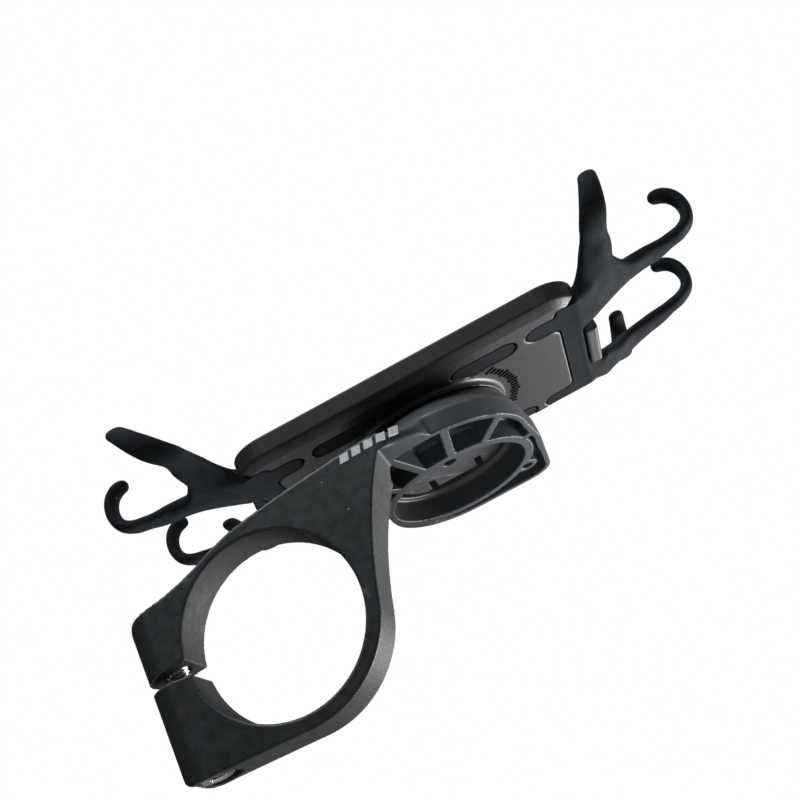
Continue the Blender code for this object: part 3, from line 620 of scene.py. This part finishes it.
def bolt_skin(material):
    """Socket-head bolt with a knurled head and a cut thread, as one turned surface."""
    low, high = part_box("clamp_bolt")
    around = 64
    head_radius, head_height, radius, pitch = 0.0035, 0.0040, 0.0020, 0.0007
    key = 0.0030                                     # across the flats of the hexagon socket

    def knurl(angle):
        return head_radius - 0.00012 * (1 + math.cos(32 * angle)) / 2

    rows = [                                         # radius as a function of the angle, and height
        (lambda a: hexagon(key, a) * 0.30, low.z + 0.0022),
        (lambda a: hexagon(key, a) * 0.97, low.z + 0.0018),
        (lambda a: hexagon(key, a), low.z + 0.0003),
        (lambda a: hexagon(key, a) + 0.0002, low.z + 0.0001),
        (lambda a: head_radius - 0.0005, low.z),
        (lambda a: head_radius - 0.0001, low.z + 0.0003),
        (knurl, low.z + 0.0005),
        (knurl, low.z + head_height - 0.0003),
        (lambda a: head_radius - 0.00025, low.z + head_height),
        (lambda a: radius + 0.0002, low.z + head_height),
        (lambda a: radius - 0.00005, low.z + head_height + 0.0002),
    ]
    thread_start = low.z + 0.0110
    steps = 8
    count = int((high.z - 0.0003 - thread_start) / pitch * steps)
    for i in range(count + 1):
        z = thread_start + i * pitch / steps
        depth = min(1.0, i / steps, (count - i) / steps + 0.3)

        def thread(angle, z=z, depth=depth):
            phase = (z / pitch - angle / math.tau) % 1.0
            return radius - 0.00005 - 0.00038 * depth * (1 - abs(2 * phase - 1))

        rows.append((thread, z))
    rows.append((lambda a: radius - 0.0005, high.z))
    angles = [math.tau * i / around for i in range(around)]
    rings = [[(BOLT_X + r(a) * math.cos(a), BOLT_Y + r(a) * math.sin(a), z) for a in angles] for r, z in rows]
    bolt = solid("bolt_skin", loft(rings))
    smooth_shading(bolt.data, 40)
    dress(bolt, "bolt", material, "bright_steel", "clamp_bolt")


# ---------------------------------------------------------------- phone plate

def turned(profile, around, x=0.0, y=0.0):
    """Ring-shaped solid from a closed profile of radius and height."""
    points, faces = [], []
    for i in range(around):
        angle = math.tau * i / around
        points += [(x + r * math.cos(angle), y + r * math.sin(angle), z) for r, z in profile]
    count = len(profile)
    for i in range(around):
        for j in range(count):
            k, n = (j + 1) % count, (i + 1) % around
            faces.append((i * count + j, n * count + j, n * count + k, i * count + k))
    return points, faces


def shell_skin(material):
    """Back shell with a hollow fillet between the turntable's seat and the plate."""
    radius = FLARE_RADIUS
    low = PLATE_BACK_Z - radius
    centre = (TURNTABLE_RADIUS - 0.0001 + radius, low)
    profile = [(TURNTABLE_RADIUS - 0.0012, PLATE_BACK_Z + 0.0004), (TURNTABLE_RADIUS - 0.0012, low)]
    for i in range(9):
        angle = math.pi - math.pi / 2 * i / 8
        profile.append((centre[0] + radius * math.cos(angle), low + (radius + 0.0001) * math.sin(angle)))
    profile.append((centre[0], PLATE_BACK_Z + 0.0004))
    flare = turned(profile[::-1], 128, HEAD_X, HEAD_Y)
    skin = solid("shell_skin", node_solid("back_shell"), flare)
    fuse(skin, SHELL_VOXEL)
    round_edges(skin.data, 4)
    thin_out(skin, SHELL_KEPT)
    smooth_shading(skin.data, 60)
    dress(skin, "carrier", material, "carrier_plastic", "back_shell")


def tick_ring(material):
    """Plain tick marks moulded on the plate beside the turntable."""
    parts = []
    for number in range(TICKS):
        angle = math.radians(-TICK_ARC / 2 + TICK_ARC * number / (TICKS - 1))
        out = Vector((math.cos(angle), math.sin(angle)))
        aside = Vector((-math.sin(angle), math.cos(angle))) * TICK_HALF_WIDTH
        inner, outer = LONG_TICK if number % LONG_TICK_EVERY == 0 else SHORT_TICK
        corners = [out * inner - aside, out * outer - aside, out * outer + aside, out * inner + aside]
        parts.append(loft([[(HEAD_X + c.x, HEAD_Y + c.y, z) for c in corners]
                           for z in (PLATE_BACK_Z - TICK_RISE, PLATE_BACK_Z + TICK_DEPTH)]))
    ring = solid("tick_ring", *parts)
    dress(ring, "carrier", material, "carrier_plastic")


def puck_skin(material):
    skin = solid("puck_skin", node_solid("lock_puck"))
    fuse(skin, PUCK_VOXEL)
    round_edges(skin.data, 4)
    thin_out(skin, PUCK_KEPT)
    smooth_shading(skin.data, 60)
    dress(skin, "carrier", material, "puck_plastic", "lock_puck")


def cushion_pad(material):
    """Thin rubber pad under the phone, with low wave ribs inside a plain border."""
    low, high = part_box("front_cushion")
    skin = solid("cushion_pad", node_solid("front_cushion"))
    fuse(skin, CUSHION_VOXEL)
    round_edges(skin.data, 6)
    points = positions(skin.data)
    x, y, z = points.T
    border, full, pitch, depth = 0.0025, 0.0033, 0.0024, 0.00035
    inside = fade(np.minimum(x - low.x, high.x - x), border, full)
    inside = inside * fade(np.minimum(y - low.y, high.y - y), border, full)
    wave = 0.5 - 0.5 * np.cos((x + 0.0006 * np.sin(y * 1100)) * math.tau / pitch)
    top = fade(z, high.z - 0.0005, high.z - 0.0002)
    points[:, 2] -= depth * wave * inside * top
    set_positions(skin.data, points)
    thin_out(skin, CUSHION_KEPT)
    smooth_shading(skin.data, 60)
    dress(skin, "carrier", material, "cushion_rubber", "front_cushion")


# ---------------------------------------------------------------- silicone

def smooth_curve(rows, steps):
    """Even curve through rows of numbers, such as a place and a width."""
    rows = np.array(rows, float)
    along = np.concatenate(([0.0], np.cumsum(np.linalg.norm(np.diff(rows[:, :3], axis=0), axis=1))))
    slopes = np.gradient(rows, along, axis=0)
    made = []
    for i in range(len(rows) - 1):
        length = along[i + 1] - along[i]
        for t in np.arange(steps) / steps:
            made.append((2 * t**3 - 3 * t**2 + 1) * rows[i] + (t**3 - 2 * t**2 + t) * length * slopes[i]
                        + (3 * t**2 - 2 * t**3) * rows[i + 1] + (t**3 - t**2) * length * slopes[i + 1])
    return np.array(made + [rows[-1]])


def superellipse(half_width, half_height, power=2.6, count=28):
    points = []
    for i in range(count):
        c, s = math.cos(math.tau * i / count), math.sin(math.tau * i / count)
        points.append((half_width * math.copysign(abs(c) ** (2 / power), c),
                       half_height * math.copysign(abs(s) ** (2 / power), s)))
    return points


def finger(path):
    """Rounded finger along rows of x, y, z, width and the direction of its width, with a round tip."""
    rows = smooth_curve(path, 8)
    places = rows[:, :3]
    left = np.concatenate((np.cumsum(np.linalg.norm(np.diff(places, axis=0), axis=1)[::-1])[::-1], [0.0]))
    forward = np.gradient(places, axis=0)
    rings = []
    for place, ahead, width, across, to_tip in zip(places, forward, rows[:, 3], rows[:, 4:6], left):
        ahead = Vector(ahead).normalized()
        across = Vector((*across, 0))
        side = (across - ahead * ahead.dot(across)).normalized()
        up = ahead.cross(side)
        share = math.sqrt(max(0.02, 1 - max(0.0, 1 - to_tip / TIP_LENGTH) ** 2))
        thickness = FINGER_THICKNESS + 0.12 * max(0.0, width - FINGER_WIDTH)
        section = superellipse(width / 2 * share, thickness / 2 * share)
        rings.append([tuple(Vector(place) + side * a + up * b) for a, b in section])
    return loft(rings)


def hook(edge):
    """Distance out and height along a finger's hook round the phone, from under it to over it."""
    out = FINGER_THICKNESS / 2 + GAP
    under, over = PHONE_BACK_Z - out, PHONE_BACK_Z + PHONE_THICKNESS + out
    middle = PHONE_BACK_Z + PHONE_THICKNESS / 2
    return [(edge - 0.0050, under), (edge - 0.0016, under + 0.0002), (edge + 0.0006, under + 0.0016),
            (edge + out, middle - 0.0010), (edge + out, middle + 0.0012), (edge + 0.0006, over - 0.0014),
            (edge - 0.0014, over), (edge - 0.0038, over + 0.0001)]


def trunk(side_x, side_y):
    """Flat stem of a strap, from inside the plate's slot to the fork."""
    rings = []
    for x, inner, outer, low in smooth_curve(TRUNKS[side_y], 6):
        high = min(low + TRUNK_THICKNESS, PHONE_BACK_Z - GAP)
        middle_y, middle_z = (inner + outer) / 2, (low + high) / 2
        section = superellipse((outer - inner) / 2, (high - low) / 2, 4.5, 40)
        rings.append([(HEAD_X + side_x * x, HEAD_Y + side_y * (middle_y + a), middle_z + b)
                      for a, b in section])
    return loft(rings)


def root_rows(line, widths, last_across):
    """Start of a finger, from the strap's root outwards, with its width square to its own line."""
    ahead = np.gradient(np.array(line), axis=0)
    rows = []
    for (x, y), width, z, (dx, dy) in zip(line, widths, ROOT_HEIGHTS, ahead):
        across = (dy, -dx) if last_across[0] else (-dy, dx)
        length = math.hypot(dx, dy)
        rows.append((x, y, z, width, across[0] / length, across[1] / length))
    return rows


def strap_parts(side_x, side_y):
    """Trunk, two fingers and web of one corner strap, as overlapping solids."""
    crossing = hook(PHONE_SIDES[side_y])
    low, high = crossing[0][1], crossing[-1][1]
    to_side = root_rows(SIDE_ROOTS[side_y], SIDE_ROOT_WIDTHS, (1, 0))
    for y, z in crossing[0 if side_y < 0 else 1:]:
        lean = SIDE_LEAN[side_x] * ((z - low) / (high - low)) ** 0.7
        width = FINGER_WIDTH * (1.16 - 0.34 * float(fade(z, 0.0410, high)))
        to_side.append((SIDE_FINGER_X[side_y] + lean, y, z, width, 1, 0))
    to_end = root_rows(END_ROOTS[side_y], END_ROOT_WIDTHS, (0, 1))
    line = END_LINES[side_y]
    to_end += [(x, y, low, width, 0, 1) for (x, y), width in zip(line, END_LINE_WIDTHS)]
    xs, ys = zip(*line)
    for x, z in hook(PHONE_HALF_LENGTH):
        width = FINGER_WIDTH * (0.90 - 0.1 * float(fade(z, 0.0465, high)))
        to_end.append((x, float(np.interp(x, xs, ys)), z, width, 0, 1))

    def placed(path):
        return [(HEAD_X + side_x * x, HEAD_Y + side_y * y, z, width, side_x * across_x, side_y * across_y)
                for x, y, z, width, across_x, across_y in path]

    web = []
    for rise in (-WEB_THICKNESS / 2, WEB_THICKNESS / 2):
        web.append([(HEAD_X + side_x * x, HEAD_Y + side_y * y, z + rise)
                    for (x, y), z in zip(WEBS[side_y], WEB_HEIGHTS)])
    if side_x * side_y < 0:
        web = web[::-1]
    return [trunk(side_x, side_y), finger(placed(to_side)), finger(placed(to_end)), loft(web)]


def cut_off(source, name, keep):
    """The part of a skin that lies on the kept side of each plane, given as a point and a normal, capped."""
    obj = new_object(name, source.data.copy())
    bm = bmesh.new()
    bm.from_mesh(obj.data)
    for point, normal in keep:
        everything = bm.verts[:] + bm.edges[:] + bm.faces[:]
        cut = bmesh.ops.bisect_plane(bm, geom=everything, plane_co=point, plane_no=normal, clear_inner=True,
                                     dist=1e-7)
        rim = [e for e in cut["geom_cut"] if isinstance(e, bmesh.types.BMEdge) and e.is_boundary]
        bmesh.ops.holes_fill(bm, edges=rim)
    bm.to_mesh(obj.data)
    bm.free()
    smooth_shading(obj.data, 60)
    return obj


def silicone_skins(material):
    """The silicone is one moulding; its skin is made whole and then divided at the four strap roots."""
    parts = []
    for side_x, side_y in STRAPS:
        parts += strap_parts(side_x, side_y)
    straps = solid("straps", *parts)
    fill_corners(straps, STRAP_VOXEL, FORK_RADIUS)
    whole = solid("silicone_whole", node_solid("silicone_core"), mesh_solid(straps.data))
    bpy.data.objects.remove(straps)
    fuse(whole, SILICONE_VOXEL)
    round_edges(whole.data, 5)
    out = np.abs(positions(whole.data)[:, 0] - HEAD_X)
    root = fade(out, 0.0375, 0.0392) * fade(-out, -0.0440, -0.0415)
    fork = fade(out, 0.0440, 0.0470) * fade(-out, -0.0600, -0.0560)
    relax(whole.data, (0.5,) * 30, np.maximum(root, fork))
    shrink(whole.data, SHEET_INSET, fade(-out, -0.0392, -0.0375))
    thin_out(whole, SILICONE_KEPT)
    rest_places = whole.data.attributes.new(REST_PLACE, "FLOAT_VECTOR", "POINT")
    rest_places.data.foreach_set("vector", positions(whole.data).ravel())
    along = Vector((1, 0, 0))
    roots = [(Vector((HEAD_X + side * STRAP_ROOT_X, 0, 0)), along * -side) for side in (-1, 1)]
    core = cut_off(whole, "silicone_sheet", roots)
    dress(core, "carrier", material, "silicone", "silicone_core")
    for (side_x, side_y), place in STRAPS.items():
        root_point = Vector((HEAD_X + side_x * STRAP_ROOT_X, HEAD_Y + side_y * SLOT_Y[side_y], PLATE_BACK_Z))
        strap = cut_off(whole, f"strap_skin_{place}", [(root_point, along * side_x),
                                                       (Vector((0, HEAD_Y, 0)), Vector((0, side_y, 0)))])
        strap.data.materials.clear()
        strap.data.materials.append(material)
        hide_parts(f"strap_{place}")
        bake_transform(strap)
    bpy.data.objects.remove(whole)


# ---------------------------------------------------------------- carried-over pieces, stage and camera

def finish_node(name, material, bevel):
    """Keeps a CAD node, with its edges broken and its own material."""
    obj = frame["nodes"][name]
    obj.data.materials.clear()
    obj.data.materials.append(material)
    modifier = obj.modifiers.new("edges", "BEVEL")
    modifier.width = bevel
    modifier.segments = 2
    modifier.limit_method = "ANGLE"
    modifier.angle_limit = math.radians(35)


def area_light(name, place, target, size, power, colour=(1, 1, 1)):
    light = bpy.data.lights.new(name, "AREA")
    light.shape = "SQUARE"
    light.size, light.energy, light.color = size, power, colour
    obj = bpy.data.objects.new(name, light)
    bpy.context.scene.collection.objects.link(obj)
    obj.location = place
    obj.rotation_euler = (Vector(target) - Vector(place)).to_track_quat("-Z", "Y").to_euler()
    obj.visible_camera = False


def studio(paper):
    """White surroundings, bright beyond the object and to the right, and dim on the camera's side."""
    world = bpy.data.worlds.new("studio")
    bpy.context.scene.world = world
    world.use_nodes = True
    tree = world.node_tree
    tree.nodes.clear()
    seen, lit = tree.nodes.new("ShaderNodeBackground"), tree.nodes.new("ShaderNodeBackground")
    seen.inputs["Color"].default_value = (1, 1, 1, 1)
    facing = tree.nodes.new("ShaderNodeVectorMath")
    facing.operation = "DOT_PRODUCT"
    facing.inputs[1].default_value = BRIGHT_SIDE
    direction = tree.nodes.new("ShaderNodeTexCoord").outputs["Generated"]
    tree.links.new(direction, facing.inputs[0])
    split = tree.nodes.new("ShaderNodeSeparateXYZ")
    tree.links.new(direction, split.inputs[0])
    side = ranged(tree, facing.outputs["Value"], 0.45, 0.90, DIM, BRIGHT)
    above = ranged(tree, split.outputs["Z"], 0.55, 0.90, 0.0, OVERHEAD)
    tree.links.new(calculate(tree, "MAXIMUM", side, above), lit.inputs["Strength"])
    rays, mix = tree.nodes.new("ShaderNodeLightPath"), tree.nodes.new("ShaderNodeMixShader")
    tree.links.new(rays.outputs["Is Camera Ray"], mix.inputs[0])
    tree.links.new(lit.outputs[0], mix.inputs[1])
    tree.links.new(seen.outputs[0], mix.inputs[2])
    tree.links.new(mix.outputs[0], tree.nodes.new("ShaderNodeOutputWorld").inputs["Surface"])

    corners = ((-1, -1), (1, -1), (1, 1), (-1, 1))
    points = [(x * FLOOR_SIZE, y * FLOOR_SIZE, FLOOR_Z) for x, y in corners]
    floor = solid("floor", (points, [(0, 1, 2, 3)]))
    floor.data.materials.append(paper)


def camera_and_lights():
    """The camera looks up at the plate from below and in front of the near side; three lamps light it."""
    turn = Matrix((CAMERA_RIGHT, CAMERA_UP, CAMERA_BACK)).transposed()
    data = bpy.data.cameras.new("camera")
    data.sensor_width = SENSOR_MM
    data.lens = LENS_MM
    data.clip_start = 0.01
    camera = bpy.data.objects.new("camera", data)
    bpy.context.scene.collection.objects.link(camera)
    camera.matrix_world = Matrix.Translation(CAMERA_PLACE) @ turn.to_4x4()
    bpy.context.scene.camera = camera
    bpy.context.scene.view_settings.view_transform = "Standard"

    middle = Vector((0.035, 0.030, 0.025))
    plate_end = Vector((0.100, 0.034, PLATE_BACK_Z))
    key_place = middle + Vector((0.50, 0.30, -0.48))
    sky_place = middle + CAMERA_UP * 0.60 - CAMERA_RIGHT * 0.42 + CAMERA_BACK * 0.10
    glow_place = plate_end + Vector((0.36, 0.84, -0.38)) * 0.60
    area_light("key", key_place, middle, size=0.36, power=9.0)
    area_light("sky", sky_place, middle, size=0.50, power=5.0, colour=(0.90, 0.96, 1.0))
    area_light("glow", glow_place, plate_end, size=0.26, power=0.7)


def build():
    nylon, shell, rubber = black_nylon(), carrier_plastic(), silicone()
    steel = plated_steel("bright_steel", (0.62, 0.62, 0.63), 0.24)
    zinc = plated_steel("dark_zinc", (0.30, 0.30, 0.31), 0.36)
    camera_and_lights()
    studio(floor_paper())
    bracket_skin(nylon)
    slanted_bars(pale_print())
    bolt_skin(steel)
    shell_skin(shell)
    tick_ring(mark_plastic())
    puck_skin(puck_plastic())
    cushion_pad(cushion_rubber())
    silicone_skins(rubber)
    finish_node("clamp_washer", steel, bevel=0.00012)
    finish_node("clamp_nut", zinc, bevel=0.00015)
    finish_node("front_panel", shell, bevel=0.00025)
    for kind in ("panel", "puck"):
        for number in range(1, 5):
            finish_node(f"{kind}_screw_{number}", zinc, bevel=0.00010)


build()
